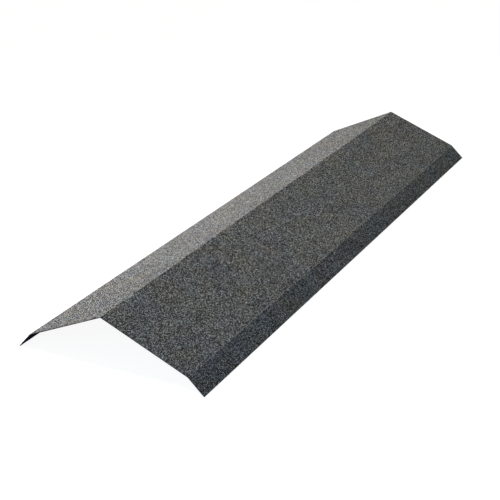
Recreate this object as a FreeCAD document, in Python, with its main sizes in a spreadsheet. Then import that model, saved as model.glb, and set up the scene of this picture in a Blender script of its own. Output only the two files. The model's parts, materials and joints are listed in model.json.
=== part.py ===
import FreeCAD
import Part
import Sketcher
import math
import os

# Roof ridge cap: one blank of stone-chip-coated steel sheet, folded three times across its width.
# The ridge bend makes two wings that lie on the two roof slopes, and each wing's outer edge is
# turned down once more into a narrow flange that closes the gap to the roof covering.
#
# Frame: X across the ridge, Y along it, Z up. The origin is midway along the cap, between the
# two bottom edges that it rests on, on the level of those edges.

# Driving dimensions, in millimetres and degrees.
# The widths are taken on the weather side, to where the flat faces would meet in a sharp corner.
DIMENSIONS = [
    ("CapLength", 1120.0, "length along the ridge, end to end"),
    ("WingWidth", 165.0, "ridge corner to flange corner"),
    ("FlangeWidth", 38.0, "flange corner to cut edge"),
    ("WingSlope", 23.3, "wing below the horizontal, degrees"),
    ("FlangeTurn", 22.0, "flange turned down from its wing, degrees"),
    ("SheetThickness", 1.6, "steel with its chip coat and back coat"),
    ("RidgeBendRadius", 2.5, "inside radius of the ridge bend"),
    ("FlangeBendRadius", 4.0, "inside radius of the two flange bends"),
]

# The points of a line or arc, and the two axes of a sketch, as constraints number them.
START, END, CENTRE = range(1, 4)
HORIZONTAL_AXIS, VERTICAL_AXIS = range(-1, -3, -1)


def make_dimension_sheet(doc):
    """Puts each driving dimension in a cell of its own, under its alias."""
    sheet = doc.addObject("Spreadsheet::Sheet", "Dimensions")
    for row, (alias, value, note) in enumerate(DIMENSIONS, start=1):
        sheet.set(f"A{row}", alias)
        sheet.set(f"B{row}", str(value))
        sheet.set(f"C{row}", note)
        sheet.setAlias(f"B{row}", alias)
    doc.recompute()
    return sheet


def origin_plane(body, role):
    """The body's own origin plane with that role, such as XZ_Plane."""
    return next(f for f in body.Origin.OriginFeatures if f.Role == role)


def profile_points(sheet):
    """Where the half profile's corners, bend centres and tangent points lie, in the sketch plane."""
    wing_angle = math.radians(sheet.WingSlope)
    flange_angle = math.radians(sheet.WingSlope + sheet.FlangeTurn)
    along_wing = FreeCAD.Vector(math.cos(wing_angle), -math.sin(wing_angle))
    off_wing = FreeCAD.Vector(math.sin(wing_angle), math.cos(wing_angle))
    along_flange = FreeCAD.Vector(math.cos(flange_angle), -math.sin(flange_angle))
    off_flange = FreeCAD.Vector(math.sin(flange_angle), math.cos(flange_angle))
    thickness = sheet.SheetThickness
    ridge_outer = sheet.RidgeBendRadius + thickness
    flange_outer = sheet.FlangeBendRadius + thickness

    # The inner corner of the cut edge stands on the ground line, and the rest is built up from it.
    ground_to_ridge = (
        sheet.WingWidth * math.sin(wing_angle)
        + sheet.FlangeWidth * math.sin(flange_angle)
        + thickness * math.cos(flange_angle)
    )
    ridge_corner = FreeCAD.Vector(0, ground_to_ridge)
    flange_corner = ridge_corner + along_wing * sheet.WingWidth
    cut_outer = flange_corner + along_flange * sheet.FlangeWidth
    setback = flange_outer * math.tan(math.radians(sheet.FlangeTurn) / 2)
    flange_centre = flange_corner - along_wing * setback - off_wing * flange_outer
    ridge_centre = ridge_corner - FreeCAD.Vector(0, ridge_outer / math.cos(wing_angle))
    return {
        "ridge_corner": ridge_corner,
        "flange_corner": flange_corner,
        "ridge_centre": ridge_centre,
        "ridge_top": ridge_centre + FreeCAD.Vector(0, ridge_outer),
        "ridge_under": ridge_centre + FreeCAD.Vector(0, sheet.RidgeBendRadius),
        "wing_top_start": ridge_centre + off_wing * ridge_outer,
        "wing_top_end": flange_corner - along_wing * setback,
        "wing_under_start": ridge_centre + off_wing * sheet.RidgeBendRadius,
        "wing_under_end": flange_centre + off_wing * sheet.FlangeBendRadius,
        "flange_centre": flange_centre,
        "flange_top_start": flange_centre + off_flange * flange_outer,
        "flange_under_start": flange_centre + off_flange * sheet.FlangeBendRadius,
        "cut_outer": cut_outer,
        "cut_inner": cut_outer - off_flange * thickness,
    }


def draw_half_profile(sketch, sheet):
    """One closed outline of the right half of the folded sheet, from the ridge to the cut edge."""
    at = profile_points(sheet)
    upright = math.radians(90)
    wing_normal = math.radians(90 - sheet.WingSlope)
    flange_normal = math.radians(90 - sheet.WingSlope - sheet.FlangeTurn)

    def add_line(start, end, construction=False):
        return sketch.addGeometry(Part.LineSegment(at[start], at[end]), construction)

    def add_bend(centre, radius, first, last):
        circle = Part.Circle(at[centre], FreeCAD.Vector(0, 0, 1), radius)
        return sketch.addGeometry(Part.ArcOfCircle(circle, first, last), False)

    thickness = sheet.SheetThickness
    ridge_radius = sheet.RidgeBendRadius
    flange_radius = sheet.FlangeBendRadius
    ridge_outer = add_bend("ridge_centre", ridge_radius + thickness, wing_normal, upright)
    wing_top = add_line("wing_top_start", "wing_top_end")
    flange_outer = add_bend("flange_centre", flange_radius + thickness, flange_normal, wing_normal)
    flange_top = add_line("flange_top_start", "cut_outer")
    cut_edge = add_line("cut_outer", "cut_inner")
    flange_under = add_line("cut_inner", "flange_under_start")
    flange_inner = add_bend("flange_centre", flange_radius, flange_normal, wing_normal)
    wing_under = add_line("wing_under_end", "wing_under_start")
    ridge_inner = add_bend("ridge_centre", ridge_radius, wing_normal, upright)
    middle = add_line("ridge_under", "ridge_top")
    corner_line = add_line("ridge_corner", "flange_corner", construction=True)

    def constrain(*parts):
        return sketch.addConstraint(Sketcher.Constraint(*parts))

    # The flats run smoothly into the bends.
    constrain("Tangent", ridge_outer, START, wing_top, START)
    constrain("Tangent", wing_top, END, flange_outer, END)
    constrain("Tangent", flange_outer, START, flange_top, START)
    constrain("Tangent", flange_under, END, flange_inner, START)
    constrain("Tangent", flange_inner, END, wing_under, START)
    constrain("Tangent", wing_under, END, ridge_inner, START)
    # The cut edge and the middle close the outline.
    constrain("Coincident", flange_top, END, cut_edge, START)
    constrain("Coincident", cut_edge, END, flange_under, START)
    constrain("Coincident", ridge_inner, END, middle, START)
    constrain("Coincident", middle, END, ridge_outer, END)
    # The ridge bend is centred on the middle of the cap.
    constrain("PointOnObject", ridge_outer, CENTRE, VERTICAL_AXIS)
    constrain("PointOnObject", ridge_outer, END, VERTICAL_AXIS)
    constrain("PointOnObject", ridge_inner, END, VERTICAL_AXIS)
    # Both faces of a bend share a centre, and both faces of a flat are parallel, so the sheet
    # keeps one thickness all the way round.
    constrain("Coincident", ridge_inner, CENTRE, ridge_outer, CENTRE)
    constrain("Coincident", flange_inner, CENTRE, flange_outer, CENTRE)
    constrain("Parallel", wing_under, wing_top)
    constrain("Parallel", flange_under, flange_top)
    constrain("Perpendicular", flange_top, cut_edge)
    # The sharp corners that the widths are measured to.
    constrain("PointOnObject", corner_line, START, VERTICAL_AXIS)
    constrain("PointOnObject", corner_line, START, wing_top)
    constrain("PointOnObject", corner_line, END, wing_top)
    constrain("PointOnObject", corner_line, END, flange_top)
    # The cap rests on the inner corner of the cut edge.
    constrain("PointOnObject", cut_edge, END, HORIZONTAL_AXIS)

    # The sizes, each one bound to its cell.
    def drive(name, expression, *parts):
        sketch.renameConstraint(constrain(*parts), name)
        sketch.setExpression(f"Constraints.{name}", expression)

    wing_angle = -math.radians(sheet.WingSlope)
    flange_angle = -math.radians(sheet.WingSlope + sheet.FlangeTurn)
    both_angles = "-(Dimensions.WingSlope + Dimensions.FlangeTurn) * 1 deg"
    flange_line = (corner_line, END, flange_top, END)
    drive("WingWidth", "Dimensions.WingWidth", "Distance", corner_line, sheet.WingWidth)
    drive("FlangeWidth", "Dimensions.FlangeWidth", "Distance", *flange_line, sheet.FlangeWidth)
    drive("Thickness", "Dimensions.SheetThickness", "Distance", cut_edge, thickness)
    drive("RidgeRadius", "Dimensions.RidgeBendRadius", "Radius", ridge_inner, ridge_radius)
    drive("FlangeRadius", "Dimensions.FlangeBendRadius", "Radius", flange_inner, flange_radius)
    drive("WingAngle", "-Dimensions.WingSlope * 1 deg", "Angle", wing_top, wing_angle)
    drive("FlangeAngle", both_angles, "Angle", flange_top, flange_angle)


def make_ridge_cap(doc, sheet):
    """The folded sheet: half a profile, drawn out to the cap's length and mirrored at the ridge."""
    body = doc.addObject("PartDesign::Body", "RidgeCap")
    body.Label = "ridge_cap"

    profile = body.newObject("Sketcher::SketchObject", "HalfProfile")
    profile.AttachmentSupport = (origin_plane(body, "XZ_Plane"), [""])
    profile.MapMode = "FlatFace"
    draw_half_profile(profile, sheet)
    doc.recompute()

    half = body.newObject("PartDesign::Pad", "HalfCap")
    half.Profile = profile
    half.SideType = "Symmetric"
    half.setExpression("Length", "Dimensions.CapLength")
    profile.Visibility = False
    doc.recompute()

    whole = body.newObject("PartDesign::Mirrored", "WholeCap")
    whole.Originals = [half]
    whole.MirrorPlane = (origin_plane(body, "YZ_Plane"), [""])
    whole.Refine = True
    body.Tip = whole
    doc.recompute()
    return body


def check_document(doc, parts):
    """Stops before anything is written if an object failed or a piece isn't one sound solid."""
    for thing in doc.Objects:
        bad = [state for state in thing.State if state in ("Invalid", "Error")]
        if bad:
            raise RuntimeError(f"{thing.Label} failed: {bad}")
        if thing.TypeId == "Sketcher::SketchObject" and thing.solve() != 0:
            raise RuntimeError(f"{thing.Label} doesn't solve")
    for part in parts:
        shape = part.Shape
        if shape.isNull() or not shape.isValid() or len(shape.Solids) != 1:
            raise RuntimeError(f"{part.Label} isn't one valid solid")


def main():
    doc = FreeCAD.newDocument("RoofRidgeCap")
    sheet = make_dimension_sheet(doc)
    parts = [make_ridge_cap(doc, sheet)]
    doc.recompute()
    check_document(doc, parts)
    os.makedirs("parts", exist_ok=True)
    for part in parts:
        part.Shape.exportStep(os.path.join("parts", f"{part.Label}.step"))
        box = part.Shape.BoundBox
        size = f"{box.XLength:.2f} x {box.YLength:.2f} x {box.ZLength:.2f} mm"
        print(f"{part.Label}: {size}, {part.Shape.Volume / 1000:.1f} cm3, {len(part.Shape.Faces)} faces")


main()
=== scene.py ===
import json
import math

import bmesh
import bpy
import numpy as np
from mathutils import Matrix, Vector

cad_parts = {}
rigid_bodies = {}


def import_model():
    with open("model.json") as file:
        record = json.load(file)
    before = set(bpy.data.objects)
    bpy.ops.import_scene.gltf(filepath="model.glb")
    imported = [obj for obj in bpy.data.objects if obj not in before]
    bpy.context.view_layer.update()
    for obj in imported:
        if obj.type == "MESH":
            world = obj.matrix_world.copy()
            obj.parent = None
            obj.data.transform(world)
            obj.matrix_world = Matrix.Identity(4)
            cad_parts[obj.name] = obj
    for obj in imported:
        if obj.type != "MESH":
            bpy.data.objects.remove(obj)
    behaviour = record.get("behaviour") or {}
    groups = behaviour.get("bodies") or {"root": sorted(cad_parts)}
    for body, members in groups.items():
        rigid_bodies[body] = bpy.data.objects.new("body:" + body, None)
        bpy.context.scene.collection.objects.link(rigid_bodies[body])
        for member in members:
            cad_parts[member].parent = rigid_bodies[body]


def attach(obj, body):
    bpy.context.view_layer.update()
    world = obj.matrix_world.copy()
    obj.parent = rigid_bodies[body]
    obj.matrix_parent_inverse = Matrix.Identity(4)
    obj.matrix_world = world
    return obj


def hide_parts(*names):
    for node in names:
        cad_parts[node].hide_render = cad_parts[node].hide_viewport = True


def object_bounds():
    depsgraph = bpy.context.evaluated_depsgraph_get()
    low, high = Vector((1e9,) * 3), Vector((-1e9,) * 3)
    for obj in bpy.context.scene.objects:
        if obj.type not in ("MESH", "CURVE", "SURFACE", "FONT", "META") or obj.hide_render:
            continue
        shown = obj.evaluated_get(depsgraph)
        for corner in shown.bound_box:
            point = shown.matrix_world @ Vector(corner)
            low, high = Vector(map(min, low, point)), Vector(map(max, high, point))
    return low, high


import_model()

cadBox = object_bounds()
cadLow, cadHigh = cadBox
print("frame loaded:", [round(1000 * (b - a), 2) for a, b in zip(cadLow, cadHigh)], "mm")

# the folded blank, as the real sheet is made: metres and degrees
blank = {
    "wingWidth": 0.165,  # ridge corner to flange corner, on the weather side
    "flangeWidth": 0.038,
    "wingSlope": 23.3,
    "flangeTurn": 22.0,
    "ridgeRadius": 0.0025,  # inside the folds
    "flangeRadius": 0.004,
    "thickness": 0.0016,  # steel, back coat and chips together
    "backCoat": 0.00006,
    "steel": 0.00046,
    "resinBed": 0.00066,  # what is left up to the full thickness is the chips
    "foldSteps": 6,
}
capLength = cadHigh.y - cadLow.y
slope = math.radians(blank["wingSlope"])
flangeSlope = math.radians(blank["wingSlope"] + blank["flangeTurn"])


def selectOnly(piece):
    bpy.ops.object.select_all(action="DESELECT")
    piece.select_set(True)
    bpy.context.view_layer.objects.active = piece


def settle(piece):
    # the piece's place goes into its mesh, so that its object sits at the origin
    selectOnly(piece)
    bpy.ops.object.transform_apply(location=True, rotation=True, scale=True)


def editEdges(piece, wanted):
    # edit mode with just the edges selected whose middle and direction suit wanted(middle, along)
    selectOnly(piece)
    bpy.ops.object.mode_set(mode="EDIT")
    bpy.context.tool_settings.mesh_select_mode = (False, True, False)
    bpy.ops.mesh.select_all(action="DESELECT")
    mesh = bmesh.from_edit_mesh(piece.data)
    for edge in mesh.edges:
        a, b = (v.co for v in edge.verts)
        edge.select_set(bool(wanted((a + b) / 2, (b - a).normalized())))
    mesh.select_flush_mode()
    bmesh.update_edit_mesh(piece.data)


def cornersAt(depth):
    # ridge corner, flange corner and cut edge of a skin that lies depth under the weather side
    alongWing = Vector((math.cos(slope), 0, -math.sin(slope)))
    offWing = Vector((math.sin(slope), 0, math.cos(slope)))
    alongFlange = Vector((math.cos(flangeSlope), 0, -math.sin(flangeSlope)))
    offFlange = Vector((math.sin(flangeSlope), 0, math.cos(flangeSlope)))
    ridgeHeight = (
        blank["wingWidth"] * math.sin(slope)
        + blank["flangeWidth"] * math.sin(flangeSlope)
        + blank["thickness"] * math.cos(flangeSlope)
    )
    ridge = Vector((0, 0, ridgeHeight))
    fold = ridge + alongWing * blank["wingWidth"]
    cut = fold + alongFlange * blank["flangeWidth"]
    inward = depth * math.tan((flangeSlope - slope) / 2)
    ridge = ridge - Vector((0, 0, depth / math.cos(slope)))
    return ridge, fold - alongWing * inward - offWing * depth, cut - offFlange * depth


def mirrored(point):
    return Vector((-point.x, point.y, point.z))


def foldSkin(name, depth):
    # one skin of the folded sheet: a strip beside the ridge, pulled out edge by edge and then bent round
    ridge, fold, cut = cornersAt(depth)
    above = blank["thickness"] - depth
    folds = (
        (ridge, 2 * slope, blank["ridgeRadius"] + above),
        (fold, flangeSlope - slope, blank["flangeRadius"] + above),
        (mirrored(fold), flangeSlope - slope, blank["flangeRadius"] + above),
    )
    bpy.ops.object.select_all(action="DESELECT")
    bpy.ops.mesh.primitive_plane_add(size=1, location=(0, 0, 0))
    skin = bpy.context.object
    skin.name = name
    skin.scale = (1, capLength, 1)
    settle(skin)
    mesh = skin.data
    for vert in mesh.vertices:
        vert.co = Vector((0, vert.co.y, 0)) + (fold if vert.co.x > 0 else ridge)
    # the flange grows from the wing's outer edge, the other wing and its flange from the ridge
    for start, end in ((fold, cut), (ridge, mirrored(fold)), (mirrored(fold), mirrored(cut))):
        editEdges(skin, lambda m, along: abs(along.y) > 0.9 and (m - start).length < 1e-5)
        bpy.ops.mesh.extrude_region_move(TRANSFORM_OT_translate={"value": end - start})
        bpy.ops.object.mode_set(mode="OBJECT")
    for corner, turn, radius in folds:
        editEdges(skin, lambda m, along: abs(along.y) > 0.9 and (m - corner).length < 1e-5)
        bpy.ops.mesh.bevel(
            offset_type="OFFSET",
            offset=radius * math.tan(turn / 2),
            segments=blank["foldSteps"],
            profile=0.5,
            affect="EDGES",
        )
        bpy.ops.object.mode_set(mode="OBJECT")
    selectOnly(skin)
    bpy.ops.object.mode_set(mode="EDIT")
    bpy.ops.mesh.select_all(action="SELECT")
    bpy.ops.mesh.normals_make_consistent(inside=False)
    bpy.ops.object.mode_set(mode="OBJECT")
    if sum(face.normal.z for face in skin.data.polygons) < 0:
        bpy.ops.object.mode_set(mode="EDIT")
        bpy.ops.mesh.select_all(action="SELECT")
        bpy.ops.mesh.flip_normals()
        bpy.ops.object.mode_set(mode="OBJECT")
    return skin


def nodeGroup(name, kind, inputs, outputs):
    # an empty group of nodes with named sockets, and its two ends
    group = bpy.data.node_groups.new(name, kind)
    for label, socket, value in inputs:
        made = group.interface.new_socket(name=label, in_out="INPUT", socket_type=socket)
        if value is not None:
            made.default_value = value
    for label, socket in outputs:
        group.interface.new_socket(name=label, in_out="OUTPUT", socket_type=socket)
    return group, group.nodes.new("NodeGroupInput"), group.nodes.new("NodeGroupOutput")


def link(tree, source, target):
    tree.links.new(source, target)


def math2(tree, operation, a, b):
    # a maths node on two sockets or numbers; gives its output
    node = tree.nodes.new("ShaderNodeMath")
    node.operation = operation
    for index, value in enumerate((a, b)):
        if isinstance(value, bpy.types.NodeSocket):
            link(tree, value, node.inputs[index])
        else:
            node.inputs[index].default_value = value
    return node.outputs[0]


def vectorMath(tree, operation, a, b=None):
    node = tree.nodes.new("ShaderNodeVectorMath")
    node.operation = operation
    for index, value in enumerate((a, b)):
        if isinstance(value, bpy.types.NodeSocket):
            link(tree, value, node.inputs[index])
        elif value is not None:
            node.inputs[index].default_value = value
    return node.outputs["Value"] if operation == "DOT_PRODUCT" else node.outputs["Vector"]


# colours of the crushed stone, from the darkest chips to the palest
stone = {
    "tones": (
        (0.00, (0.020, 0.0201, 0.0202)),
        (0.20, (0.035, 0.0351, 0.0348)),
        (0.32, (0.120, 0.1205, 0.1170)),
        (0.44, (0.250, 0.251, 0.244)),
        (0.65, (0.333, 0.333, 0.323)),
        (0.85, (0.408, 0.407, 0.396)),
        (1.00, (0.525, 0.523, 0.510)),
    ),
    "coolTint": (0.905, 0.98, 1.105),
    "warmTint": (1.055, 1.012, 0.925),
    "patchSize": 14.0,  # waves to the metre of the slow drift in shade
    "patchAmount": 0.07,
    "chipTintAmount": 0.15,
    "tintPatchSize": 22.0,
    "tintPatchAmount": 1.5,
    "greenTint": (0.975, 1.015, 0.985),
    "plumTint": (1.025, 0.982, 1.02),
    "greenPatchSize": 18.0,
    "greenPatchAmount": 1.6,
}


def stoneToneGroup():
    # tone and tint, both 0 to 1, and a place: the colour of a chip of the blend
    group, start, end = nodeGroup(
        "stoneTone",
        "ShaderNodeTree",
        (
            ("Tone", "NodeSocketFloat", 0.5),
            ("Tint", "NodeSocketFloat", 0.5),
            ("Place", "NodeSocketVector", None),
        ),
        (("Colour", "NodeSocketColor"),),
    )
    ramp = group.nodes.new("ShaderNodeValToRGB")
    points = ramp.color_ramp.elements
    points[0].position, points[1].position = stone["tones"][0][0], stone["tones"][-1][0]
    points[0].color, points[1].color = (*stone["tones"][0][1], 1), (*stone["tones"][-1][1], 1)
    for position, colour in stone["tones"][1:-1]:
        points.new(position).color = (*colour, 1)
    link(group, start.outputs["Tone"], ramp.inputs["Fac"])
    tint = group.nodes.new("ShaderNodeMix")
    tint.data_type = "RGBA"
    tint.inputs["A"].default_value = (*stone["coolTint"], 1)
    tint.inputs["B"].default_value = (*stone["warmTint"], 1)
    blots = group.nodes.new("ShaderNodeTexNoise")
    blots.inputs["Scale"].default_value = stone["tintPatchSize"]
    blots.inputs["Detail"].default_value = 1.0
    link(group, start.outputs["Place"], blots.inputs["Vector"])
    lean = math2(group, "MULTIPLY_ADD", blots.outputs["Fac"], stone["tintPatchAmount"])
    lean.node.inputs[2].default_value = 0.5 - (stone["tintPatchAmount"] + stone["chipTintAmount"]) / 2
    own = math2(group, "MULTIPLY", start.outputs["Tint"], stone["chipTintAmount"])
    link(group, math2(group, "ADD", own, lean), tint.inputs["Factor"])
    # a second, slower drift between greenish and plum
    moss = group.nodes.new("ShaderNodeTexNoise")
    moss.inputs["Scale"].default_value = stone["greenPatchSize"]
    moss.inputs["Detail"].default_value = 1.0
    link(group, vectorMath(group, "ADD", start.outputs["Place"], (3.1, 1.7, 5.3)), moss.inputs["Vector"])
    hue = group.nodes.new("ShaderNodeMix")
    hue.data_type = "RGBA"
    hue.inputs["A"].default_value = (*stone["greenTint"], 1)
    hue.inputs["B"].default_value = (*stone["plumTint"], 1)
    side = math2(group, "MULTIPLY_ADD", moss.outputs["Fac"], stone["greenPatchAmount"])
    side.node.inputs[2].default_value = 0.5 - stone["greenPatchAmount"] / 2
    link(group, side, hue.inputs["Factor"])
    tinted = group.nodes.new("ShaderNodeMix")
    tinted.data_type, tinted.blend_type = "RGBA", "MULTIPLY"
    tinted.inputs["Factor"].default_value = 1.0
    link(group, vectorMath(group, "MULTIPLY", ramp.outputs["Color"], hue.outputs["Result"]), tinted.inputs["A"])
    link(group, tint.outputs["Result"], tinted.inputs["B"])
    drift = group.nodes.new("ShaderNodeTexNoise")
    drift.inputs["Scale"].default_value = stone["patchSize"]
    drift.inputs["Detail"].default_value = 2.0
    link(group, start.outputs["Place"], drift.inputs["Vector"])
    level = group.nodes.new("ShaderNodeMapRange")
    level.inputs["From Min"].default_value = 0.3
    level.inputs["From Max"].default_value = 0.7
    level.inputs["To Min"].default_value = 1 - stone["patchAmount"]
    level.inputs["To Max"].default_value = 1 + stone["patchAmount"]
    link(group, drift.outputs["Fac"], level.inputs["Value"])
    shade = vectorMath(group, "SCALE", tinted.outputs["Result"])
    link(group, level.outputs["Result"], shade.node.inputs["Scale"])
    link(group, shade, end.inputs["Colour"])
    return group


stoneTone = stoneToneGroup()


def newMaterial(name):
    material = bpy.data.materials.new(name)
    material.use_nodes = True
    tree = material.node_tree
    return material, tree, tree.nodes["Principled BSDF"]


def placed(tree, group):
    node = tree.nodes.new("ShaderNodeGroup")
    node.node_tree = group
    return node


def objectPlace(tree):
    return tree.nodes.new("ShaderNodeTexCoord").outputs["Object"]


def attribute(tree, name):
    node = tree.nodes.new("ShaderNodeAttribute")
    node.attribute_name = name
    return node


chipFinish = {"roughness": 0.8, "shine": 0.06, "speckle": 1600.0, "speckleAmount": 0.16}


def chipMaterial():
    material, tree, surface = newMaterial("stone_chips")
    place = objectPlace(tree)
    tone = attribute(tree, "chipTone").outputs["Fac"]
    speckle = tree.nodes.new("ShaderNodeTexNoise")
    speckle.inputs["Scale"].default_value = chipFinish["speckle"]
    link(tree, place, speckle.inputs["Vector"])
    grain = math2(tree, "MULTIPLY_ADD", speckle.outputs["Fac"], chipFinish["speckleAmount"])
    grain.node.inputs[2].default_value = -chipFinish["speckleAmount"] / 2
    blend = placed(tree, stoneTone)
    link(tree, math2(tree, "ADD", tone, grain), blend.inputs["Tone"])
    link(tree, attribute(tree, "chipTint").outputs["Fac"], blend.inputs["Tint"])
    link(tree, place, blend.inputs["Place"])
    link(tree, blend.outputs["Colour"], surface.inputs["Base Color"])
    surface.inputs["Roughness"].default_value = chipFinish["roughness"]
    surface.inputs["Specular IOR Level"].default_value = chipFinish["shine"]
    return material


bedFinish = {
    "roughness": 0.75,
    "shine": 0.06,
    "finesSize": 1500.0,
    "finesDarkAndPaintedShade": 0.12,
    "relief": 0.00018,
}


def bedMaterial():
    # the resin that holds the chips, full of fines; its dark colour is partly the resin's own and partly painted
    # shade that darkens the cut edges
    material, tree, surface = newMaterial("resin_bed")
    place = objectPlace(tree)
    fines = tree.nodes.new("ShaderNodeTexVoronoi")
    fines.inputs["Scale"].default_value = bedFinish["finesSize"]
    link(tree, place, fines.inputs["Vector"])
    split = tree.nodes.new("ShaderNodeSeparateColor")
    link(tree, fines.outputs["Color"], split.inputs["Color"])
    blend = placed(tree, stoneTone)
    link(tree, math2(tree, "MULTIPLY", split.outputs["Red"], bedFinish["finesDarkAndPaintedShade"]), blend.inputs["Tone"])
    link(tree, split.outputs["Green"], blend.inputs["Tint"])
    link(tree, place, blend.inputs["Place"])
    link(tree, blend.outputs["Colour"], surface.inputs["Base Color"])
    bump = tree.nodes.new("ShaderNodeBump")
    bump.inputs["Distance"].default_value = bedFinish["relief"]
    bump.invert = True
    link(tree, fines.outputs["Distance"], bump.inputs["Height"])
    link(tree, bump.outputs["Normal"], surface.inputs["Normal"])
    surface.inputs["Roughness"].default_value = bedFinish["roughness"]
    surface.inputs["Specular IOR Level"].default_value = bedFinish["shine"]
    return material


backFinish = {
    "colour": (0.014, 0.0145, 0.0155),
    "worn": (0.024, 0.0245, 0.0255),
    "roughness": (0.72, 0.88),
    "shine": 0.0,
    "peel": 420.0,
    "peelHeight": 0.00003,
    "smears": (9.0, 1.4, 9.0),
}


def backMaterial():
    # the thin black coat of the underside: orange peel, and faint smears along the strip
    material, tree, surface = newMaterial("back_coat")
    place = objectPlace(tree)
    smears = tree.nodes.new("ShaderNodeTexNoise")
    smears.inputs["Scale"].default_value = 1.0
    smears.inputs["Detail"].default_value = 5.0
    link(tree, vectorMath(tree, "MULTIPLY", place, backFinish["smears"]), smears.inputs["Vector"])
    colour = tree.nodes.new("ShaderNodeMix")
    colour.data_type = "RGBA"
    colour.inputs["A"].default_value = (*backFinish["colour"], 1)
    colour.inputs["B"].default_value = (*backFinish["worn"], 1)
    link(tree, smears.outputs["Fac"], colour.inputs["Factor"])
    link(tree, colour.outputs["Result"], surface.inputs["Base Color"])
    rough = tree.nodes.new("ShaderNodeMapRange")
    rough.inputs["To Min"].default_value, rough.inputs["To Max"].default_value = backFinish["roughness"]
    link(tree, smears.outputs["Fac"], rough.inputs["Value"])
    link(tree, rough.outputs["Result"], surface.inputs["Roughness"])
    peel = tree.nodes.new("ShaderNodeTexNoise")
    peel.inputs["Scale"].default_value = backFinish["peel"]
    link(tree, place, peel.inputs["Vector"])
    bump = tree.nodes.new("ShaderNodeBump")
    bump.inputs["Distance"].default_value = backFinish["peelHeight"]
    link(tree, peel.outputs["Fac"], bump.inputs["Height"])
    link(tree, bump.outputs["Normal"], surface.inputs["Normal"])
    surface.inputs["Specular IOR Level"].default_value = backFinish["shine"]
    return material


# the steel's colour is painted shade: far darker than bare steel
steelFinish = {"colour": (0.05, 0.051, 0.053), "roughness": (0.5, 0.7), "shearLines": (2600.0, 260.0, 2600.0)}


def steelMaterial():
    # bare steel at the cut edges, scored by the shear, its colour set far darker than bare steel as painted shade
    # along the cut edges
    material, tree, surface = newMaterial("cut_steel")
    lines = tree.nodes.new("ShaderNodeTexNoise")
    lines.inputs["Scale"].default_value = 1.0
    link(tree, vectorMath(tree, "MULTIPLY", objectPlace(tree), steelFinish["shearLines"]), lines.inputs["Vector"])
    rough = tree.nodes.new("ShaderNodeMapRange")
    rough.inputs["To Min"].default_value, rough.inputs["To Max"].default_value = steelFinish["roughness"]
    link(tree, lines.outputs["Fac"], rough.inputs["Value"])
    link(tree, rough.outputs["Result"], surface.inputs["Roughness"])
    surface.inputs["Base Color"].default_value = (*steelFinish["colour"], 1)
    surface.inputs["Metallic"].default_value = 1.0
    return material


def makeSheet():
    # back coat, steel and resin bed, pulled up one after another from the underside
    sheet = foldSkin("ridge_cap_sheet", blank["thickness"])
    for material in (backMaterial(), steelMaterial(), bedMaterial()):
        sheet.data.materials.append(material)
    selectOnly(sheet)
    bpy.ops.object.mode_set(mode="EDIT")
    bpy.context.tool_settings.mesh_select_mode = (False, False, True)
    bpy.ops.mesh.select_all(action="SELECT")
    for index, layer in enumerate(("backCoat", "steel", "resinBed")):
        bpy.ops.mesh.extrude_region_shrink_fatten(
            TRANSFORM_OT_shrink_fatten={"value": blank[layer], "use_even_offset": True}
        )
        # the layer's own cut edge keeps the material of the face that it was pulled from
        sheet.active_material_index = min(index + 1, 2)
        bpy.ops.object.material_slot_assign()
    bpy.ops.mesh.select_all(action="SELECT")
    bpy.ops.mesh.normals_make_consistent(inside=False)
    bpy.ops.object.mode_set(mode="OBJECT")
    return sheet


sheet = makeSheet()
print("sheet:", len(sheet.data.polygons), "faces, box", [tuple(round(1000 * x, 2) for x in c) for c in (sheet.bound_box[0], sheet.bound_box[6])])
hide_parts("ridge_cap")
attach(sheet, "root")

# the crushed stone: how each kind of chip is cut from a short prism or cone, as shares of its size
chipKinds = (
    {"sides": 3, "top": 0.62, "shift": (0.10, -0.06), "tilt": (9, -6)},
    {"sides": 3, "top": 0.70, "shift": (-0.05, 0.12), "tilt": (-6, 12)},
    {"sides": 3, "top": 0.0, "shift": (0.16, 0.10), "tilt": (0, 0)},
    {"sides": 3, "top": 0.0, "shift": (-0.20, 0.14), "tilt": (0, 0)},
    {"sides": 4, "top": 0.0, "shift": (0.20, 0.12), "tilt": (0, 0)},
    {"sides": 4, "top": 0.0, "shift": (-0.26, 0.05), "tilt": (0, 0)},
)
chips = {
    "across": 0.00222,
    "height": 0.00060,
    "sunk": 0.00020,
    "spacing": 0.00133,
    "density": 4200000.0,  # tries to the square metre, before the spacing thins them
    "sizes": (0.68, 1.32),
    "heights": (0.62, 1.0),
    "tilt": 8.0,
    "seed": 7,
    "uvRows": 4,
    "uvMargin": 0.0015,
}
# strips of the weather side that hold one mesh of chips each, by their place across the cap
foldAt = cornersAt(0)[1].x
cutAt = cornersAt(0)[2].x
chipStrips = {
    "chips_left_flange": (-cutAt, -foldAt),
    "chips_left_wing_outer": (-foldAt, -foldAt / 2),
    "chips_left_wing_inner": (-foldAt / 2, 0),
    "chips_right_wing_inner": (0, foldAt / 2),
    "chips_right_wing_outer": (foldAt / 2, foldAt),
    "chips_right_flange": (foldAt, cutAt),
}


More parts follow.
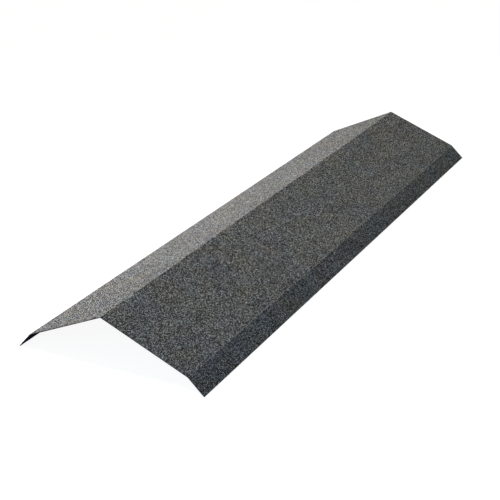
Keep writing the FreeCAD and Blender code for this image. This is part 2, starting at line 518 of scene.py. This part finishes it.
def makeChipKinds():
    # one small closed solid of each kind, a metre across and a metre high, in a collection of its own
    shelf = bpy.data.collections.new("chip_kinds")
    bpy.context.scene.collection.children.link(shelf)
    for number, kind in enumerate(chipKinds):
        bpy.ops.object.select_all(action="DESELECT")
        bpy.ops.mesh.primitive_cone_add(
            vertices=kind["sides"], radius1=0.5, radius2=0.5 * kind["top"], depth=1, end_fill_type="NGON"
        )
        chip = bpy.context.object
        chip.name = f"chip_kind_{number}"
        bpy.ops.object.mode_set(mode="EDIT")
        bpy.context.tool_settings.mesh_select_mode = (True, False, False)
        bpy.ops.mesh.select_all(action="DESELECT")
        mesh = bmesh.from_edit_mesh(chip.data)
        for vert in mesh.verts:
            vert.select_set(vert.co.z > 0)
        mesh.select_flush_mode()
        bmesh.update_edit_mesh(chip.data)
        bpy.ops.transform.translate(value=(*kind["shift"], 0))
        for axis, turn in zip("XY", kind["tilt"]):
            if turn:
                bpy.ops.transform.rotate(
                    value=math.radians(turn), orient_axis=axis, center_override=(*kind["shift"], 0.5)
                )
        bpy.ops.mesh.select_all(action="SELECT")
        bpy.ops.mesh.quads_convert_to_tris()
        bpy.ops.transform.translate(value=(0, 0, 0.5))
        bpy.ops.object.mode_set(mode="OBJECT")
        for holder in list(chip.users_collection):
            holder.objects.unlink(chip)
        shelf.objects.link(chip)
    return shelf


def chipScatterGroup(shelf):
    # lays chips on the faces of a skin between two places across it, and gives each its tone, tint and map
    group, start, end = nodeGroup(
        "chipScatter",
        "GeometryNodeTree",
        (
            ("Skin", "NodeSocketGeometry", None),
            ("From", "NodeSocketFloat", 0.0),
            ("To", "NodeSocketFloat", 0.0),
            ("Unrolled", "NodeSocketFloat", 1.0),
        ),
        (("Chips", "NodeSocketGeometry"),),
    )
    nodes = group.nodes

    def node(kind, **values):
        made = nodes.new(kind)
        for label, value in values.items():
            setattr(made, label, value)
        return made

    def fill(made, **values):
        for label, value in values.items():
            target = made.inputs[label.replace("_", " ")]
            if isinstance(value, bpy.types.NodeSocket):
                link(group, value, target)
            else:
                target.default_value = value
        return made

    def store(geometry, name, kind, domain, value):
        made = node("GeometryNodeStoreNamedAttribute", data_type=kind, domain=domain)
        fill(made, Geometry=geometry, Name=name)
        link(group, value, next(s for s in made.inputs if s.name == "Value" and s.enabled))
        return made.outputs["Geometry"]

    def named(name, kind):
        made = node("GeometryNodeInputNamedAttribute", data_type=kind)
        fill(made, Name=name)
        return next(s for s in made.outputs if s.name == "Attribute" and s.enabled)

    def randomValue(kind, low, high, seed):
        made = node("FunctionNodeRandomValue", data_type=kind)
        lowest, highest = (next(s for s in made.inputs if s.name == n and s.enabled) for n in ("Min", "Max"))
        lowest.default_value, highest.default_value = low, high
        made.inputs["Seed"].default_value = seed
        return next(s for s in made.outputs if s.enabled)

    spread = node("GeometryNodeDistributePointsOnFaces", distribute_method="POISSON")
    link(group, start.outputs["Skin"], spread.inputs["Mesh"])
    fill(spread, Distance_Min=chips["spacing"], Density_Max=chips["density"], Seed=chips["seed"])
    seed = chips["seed"]
    place = node("GeometryNodeInputPosition").outputs["Position"]
    points = store(spread.outputs["Points"], "chipCentre", "FLOAT_VECTOR", "POINT", place)
    points = store(points, "chipNormal", "FLOAT_VECTOR", "POINT", spread.outputs["Normal"])
    points = store(points, "chipTone", "FLOAT", "POINT", randomValue("FLOAT", 0.0, 1.0, seed + 1))
    points = store(points, "chipTint", "FLOAT", "POINT", randomValue("FLOAT", 0.0, 1.0, seed + 2))
    # each chip lies flat on the bed, turned and tipped at random
    turn = node("FunctionNodeRotateRotation", rotation_space="LOCAL")
    link(group, spread.outputs["Rotation"], turn.inputs["Rotation"])
    lean = math.radians(chips["tilt"])
    link(
        group,
        randomValue("FLOAT_VECTOR", (-lean, -lean, 0), (lean, lean, 2 * math.pi), seed + 3),
        turn.inputs["Rotate By"],
    )
    low, high = (chips["across"] * x for x in chips["sizes"])
    lowest, highest = (chips["height"] * x for x in chips["heights"])
    scale = randomValue("FLOAT_VECTOR", (low, low, lowest), (high, high, highest), seed + 4)
    kinds = node("GeometryNodeCollectionInfo", transform_space="ORIGINAL")
    fill(kinds, Collection=shelf, Separate_Children=True, Reset_Children=True)
    lay = node("GeometryNodeInstanceOnPoints")
    fill(
        lay,
        Points=points,
        Instance=kinds.outputs["Instances"],
        Pick_Instance=True,
        Instance_Index=randomValue("INT", 0, len(chipKinds) - 1, seed + 5),
        Rotation=turn.outputs["Rotation"],
        Scale=scale,
    )
    sink = node("GeometryNodeTranslateInstances")
    fill(sink, Instances=lay.outputs["Instances"], Translation=(0, 0, -chips["sunk"]), Local_Space=False)
    down = vectorMath(group, "SCALE", named("chipNormal", "FLOAT_VECTOR"))
    down.node.inputs["Scale"].default_value = -chips["sunk"]
    link(group, down, sink.inputs["Translation"])
    real = node("GeometryNodeRealizeInstances")
    link(group, sink.outputs["Instances"], real.inputs["Geometry"])
    # the map: the strip rolled out flat and folded into rows, so that a square picture holds it
    centre, normal = named("chipCentre", "FLOAT_VECTOR"), named("chipNormal", "FLOAT_VECTOR")
    offset = vectorMath(group, "SUBTRACT", place, centre)
    sidewise = vectorMath(group, "CROSS_PRODUCT", (0.0, 1.0, 0.0), normal)
    fromCentre, fromEnd = node("ShaderNodeSeparateXYZ"), node("ShaderNodeSeparateXYZ")
    link(group, centre, fromCentre.inputs["Vector"])
    link(group, offset, fromEnd.inputs["Vector"])
    width = math2(group, "SUBTRACT", start.outputs["To"], start.outputs["From"])
    width = math2(group, "MULTIPLY", width, start.outputs["Unrolled"])
    u = math2(group, "SUBTRACT", fromCentre.outputs["X"], start.outputs["From"])
    u = math2(group, "MULTIPLY", u, start.outputs["Unrolled"])
    u = math2(group, "ADD", u, vectorMath(group, "DOT_PRODUCT", offset, sidewise))
    rows, margin = chips["uvRows"], chips["uvMargin"]
    rowLength = capLength / rows
    y = math2(group, "ADD", fromCentre.outputs["Y"], capLength / 2)
    row = math2(group, "FLOOR", math2(group, "DIVIDE", y, rowLength), 0.0)
    row = math2(group, "MINIMUM", row, rows - 1)
    v = math2(group, "SUBTRACT", y, math2(group, "MULTIPLY", row, rowLength))
    v = math2(group, "ADD", v, fromEnd.outputs["Y"])
    rowWidth = math2(group, "ADD", width, 2 * margin)
    mapX = math2(group, "DIVIDE", math2(group, "ADD", v, margin), rowLength + 2 * margin)
    mapY = math2(group, "ADD", math2(group, "ADD", u, margin), math2(group, "MULTIPLY", row, rowWidth))
    mapY = math2(group, "DIVIDE", mapY, math2(group, "MULTIPLY", rowWidth, rows))
    mapped = node("ShaderNodeCombineXYZ")
    fill(mapped, X=mapX, Y=mapY)
    result = store(real.outputs["Geometry"], "OFBake", "FLOAT2", "CORNER", mapped.outputs["Vector"])
    link(group, result, end.inputs["Chips"])
    return group


def trimFlush(piece):
    # the shear cuts sheet and chips together, so no chip stands past the ends or the flanges' cut edges
    cut = cornersAt(0)[2]
    away = Vector((math.cos(flangeSlope), 0, -math.sin(flangeSlope)))
    planes = (
        ((0, capLength / 2, 0), (0, 1, 0)),
        ((0, -capLength / 2, 0), (0, -1, 0)),
        (cut, away),
        (mirrored(cut), mirrored(away)),
        ((0, 0, cadHigh.z), (0, 0, 1)),
        ((cadHigh.x, 0, 0), (1, 0, 0)),
        ((cadLow.x, 0, 0), (-1, 0, 0)),
    )
    selectOnly(piece)
    bpy.ops.object.mode_set(mode="EDIT")
    for point, normal in planes:
        bpy.ops.mesh.select_all(action="SELECT")
        bpy.ops.mesh.bisect(plane_co=point, plane_no=normal, clear_outer=True, use_fill=True, threshold=1e-7)
    bpy.ops.object.mode_set(mode="OBJECT")


def paintShadeOnCutEnds(piece):
    # painted shade: the chips' faces cut flat at the two ends take the dark resin colour, so both cut ends read
    # dark as if in shade
    mesh = piece.data
    normals = np.empty(3 * len(mesh.polygons))
    centres = np.empty(3 * len(mesh.polygons))
    mesh.polygons.foreach_get("normal", normals)
    mesh.polygons.foreach_get("center", centres)
    atEnd = np.abs(np.abs(centres[1::3]) - capLength / 2) < 1e-5
    mesh.polygons.foreach_set("material_index", (atEnd & (np.abs(normals[1::3]) > 0.99)).astype(np.int32))
    mesh.update()


def makeChips():
    bedDepth = blank["thickness"] - blank["backCoat"] - blank["steel"] - blank["resinBed"]
    bed = foldSkin("bed_skin", bedDepth)
    shelf = makeChipKinds()
    scatter = chipScatterGroup(shelf)
    material, resin = chipMaterial(), bpy.data.materials["resin_bed"]
    made = []
    for name, (low, high) in chipStrips.items():
        selectOnly(bed)
        bpy.ops.object.duplicate()
        piece = bpy.context.object
        piece.name = piece.data.name = name
        # the chips of a strip lie on that strip of the bed alone
        bpy.ops.object.mode_set(mode="EDIT")
        for edge, side in ((low, -1), (high, 1)):
            bpy.ops.mesh.select_all(action="SELECT")
            bpy.ops.mesh.bisect(plane_co=(edge, 0, 0), plane_no=(side, 0, 0), clear_outer=True, threshold=1e-7)
        bpy.ops.object.mode_set(mode="OBJECT")
        modifier = piece.modifiers.new("scatter", "NODES")
        modifier.node_group = scatter
        flange = max(abs(low), abs(high)) > foldAt * 1.01
        sockets = {s.name: s.identifier for s in scatter.interface.items_tree if s.in_out == "INPUT"}
        modifier[sockets["From"]] = low
        modifier[sockets["To"]] = high
        modifier[sockets["Unrolled"]] = 1 / math.cos(flangeSlope if flange else slope)
        bpy.ops.object.modifier_apply(modifier="scatter")
        trimFlush(piece)
        piece.data.materials.clear()
        piece.data.materials.append(material)
        piece.data.materials.append(resin)
        # the chips' cut faces at the two ends get painted shade
        paintShadeOnCutEnds(piece)
        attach(piece, "root")
        made.append(piece)
        print(name, len(piece.data.polygons), "faces")
    for spare in (bed, *shelf.objects):
        bpy.data.objects.remove(spare, do_unlink=True)
    bpy.data.collections.remove(shelf)
    return made


chipPieces = makeChips()
print("chips:", sum(len(p.data.polygons) for p in chipPieces), "faces in all")

# camera, fitted to the cap's corners in the photo. Lengths are in half widths of the cap, ridge to flange corner
view = {
    "azimuth": 31.348,
    "elevation": 24.403,
    "roll": -3.294,
    "distance": 12.983,
    "sideways": 0.3839,
    "upwards": 0.3593,
    "focalPixels": 1003.8,
    "framePixels": 500,
    "sensor": 36.0,
}


def makeCamera():
    azimuth, elevation, roll = (math.radians(view[k]) for k in ("azimuth", "elevation", "roll"))
    back = Vector(
        (math.sin(azimuth) * math.cos(elevation), -math.cos(azimuth) * math.cos(elevation), math.sin(elevation))
    )
    level = Vector((math.cos(azimuth), math.sin(azimuth), 0))
    upward = back.cross(level)
    right = math.cos(roll) * level + math.sin(roll) * upward
    up = math.cos(roll) * upward - math.sin(roll) * level
    fold = cornersAt(0)[1]
    eye = fold.x * (view["distance"] * back - view["sideways"] * right - view["upwards"] * up)
    data = bpy.data.cameras.new("camera")
    data.sensor_width = view["sensor"]
    data.lens = view["focalPixels"] / view["framePixels"] * view["sensor"]
    data.clip_start, data.clip_end = 0.05, 100
    camera = bpy.data.objects.new("camera", data)
    bpy.context.scene.collection.objects.link(camera)
    turned = Matrix((right, up, back)).transposed().to_4x4()
    camera.matrix_world = Matrix.Translation(eye + Vector((0, 0, fold.z))) @ turned
    bpy.context.scene.camera = camera


makeCamera()

# light: a soft source from the left, a weak cool one before the near end, and a pale room
light = {
    "lamps": {
        "key": {
            "power": 23.5,
            "size": 0.6,
            "colour": (1.0, 0.932, 0.905),
            "at": (-2.26, -0.55, 1.74),
            "aim": (0.0, -0.25, 0.05),
            "spread": 68,
        },
        "front": {
            "power": 4.1,
            "size": 0.6,
            "colour": (0.24, 0.57, 1.0),
            "at": (0.35, -1.55, 0.85),
            "aim": (0.05, -0.45, 0.03),
            "spread": 180,
        },
    },
    "room": (1.0, 0.995, 0.845),
    "roomLevel": 0.512,
    "floorColour": (0.485, 0.617, 0.95),  # as it lights the cap
    "floorShade": (0.15, 0.152, 0.157),  # as it takes the cap's shadow in the picture, over plain white
    "floorWhite": 0.93,
}


def seenDirectly(tree):
    # 1 for rays from the camera or by way of a gloss or glass, 0 for the rays that light the object
    path = tree.nodes.new("ShaderNodeLightPath")
    seen = math2(tree, "MAXIMUM", path.outputs["Is Camera Ray"], path.outputs["Is Glossy Ray"])
    return math2(tree, "MAXIMUM", seen, path.outputs["Is Transmission Ray"])


def makeLight():
    for name, lamp in light["lamps"].items():
        source = bpy.data.lights.new(name, "AREA")
        source.shape, source.size = "DISK", lamp["size"]
        source.energy, source.color = lamp["power"], lamp["colour"]
        source.spread = math.radians(lamp["spread"])
        holder = bpy.data.objects.new(name, source)
        at = Vector(lamp["at"])
        turned = (at - Vector(lamp["aim"])).to_track_quat("Z", "Y").to_matrix().to_4x4()
        holder.matrix_world = Matrix.Translation(at) @ turned
        bpy.context.scene.collection.objects.link(holder)
    world = bpy.data.worlds.new("room")
    bpy.context.scene.world = world
    world.use_nodes = True
    tree = world.node_tree
    tree.nodes.clear()
    room, white = tree.nodes.new("ShaderNodeBackground"), tree.nodes.new("ShaderNodeBackground")
    room.inputs["Color"].default_value = (*light["room"], 1)
    room.inputs["Strength"].default_value = light["roomLevel"]
    white.inputs["Color"].default_value = (1, 1, 1, 1)
    mix, out = tree.nodes.new("ShaderNodeMixShader"), tree.nodes.new("ShaderNodeOutputWorld")
    link(tree, seenDirectly(tree), mix.inputs["Fac"])
    link(tree, room.outputs[0], mix.inputs[1])
    link(tree, white.outputs[0], mix.inputs[2])
    link(tree, mix.outputs[0], out.inputs["Surface"])


def makeFloor():
    # pale floor: white where nothing shades it, and the cap's shadow stays on it
    bpy.ops.object.select_all(action="DESELECT")
    bpy.ops.mesh.primitive_circle_add(vertices=96, radius=60, fill_type="NGON", location=(0, 0, cadLow.z))
    floor = bpy.context.object
    floor.name = "floor"
    material = bpy.data.materials.new("floor")
    material.use_nodes = True
    tree = material.node_tree
    tree.nodes.clear()
    matt, glow = tree.nodes.new("ShaderNodeBsdfDiffuse"), tree.nodes.new("ShaderNodeEmission")
    shade = tree.nodes.new("ShaderNodeBsdfDiffuse")
    matt.inputs["Color"].default_value = (*light["floorColour"], 1)
    shade.inputs["Color"].default_value = (*light["floorShade"], 1)
    glow.inputs["Strength"].default_value = light["floorWhite"]
    shown, both = tree.nodes.new("ShaderNodeAddShader"), tree.nodes.new("ShaderNodeMixShader")
    link(tree, shade.outputs[0], shown.inputs[0])
    link(tree, glow.outputs[0], shown.inputs[1])
    link(tree, seenDirectly(tree), both.inputs["Fac"])
    link(tree, matt.outputs[0], both.inputs[1])
    link(tree, shown.outputs[0], both.inputs[2])
    out = tree.nodes.new("ShaderNodeOutputMaterial")
    link(tree, both.outputs[0], out.inputs["Surface"])
    floor.data.materials.append(material)


makeLight()
makeFloor()
bpy.context.scene.view_settings.view_transform = "Standard"
print("camera, light and floor made")
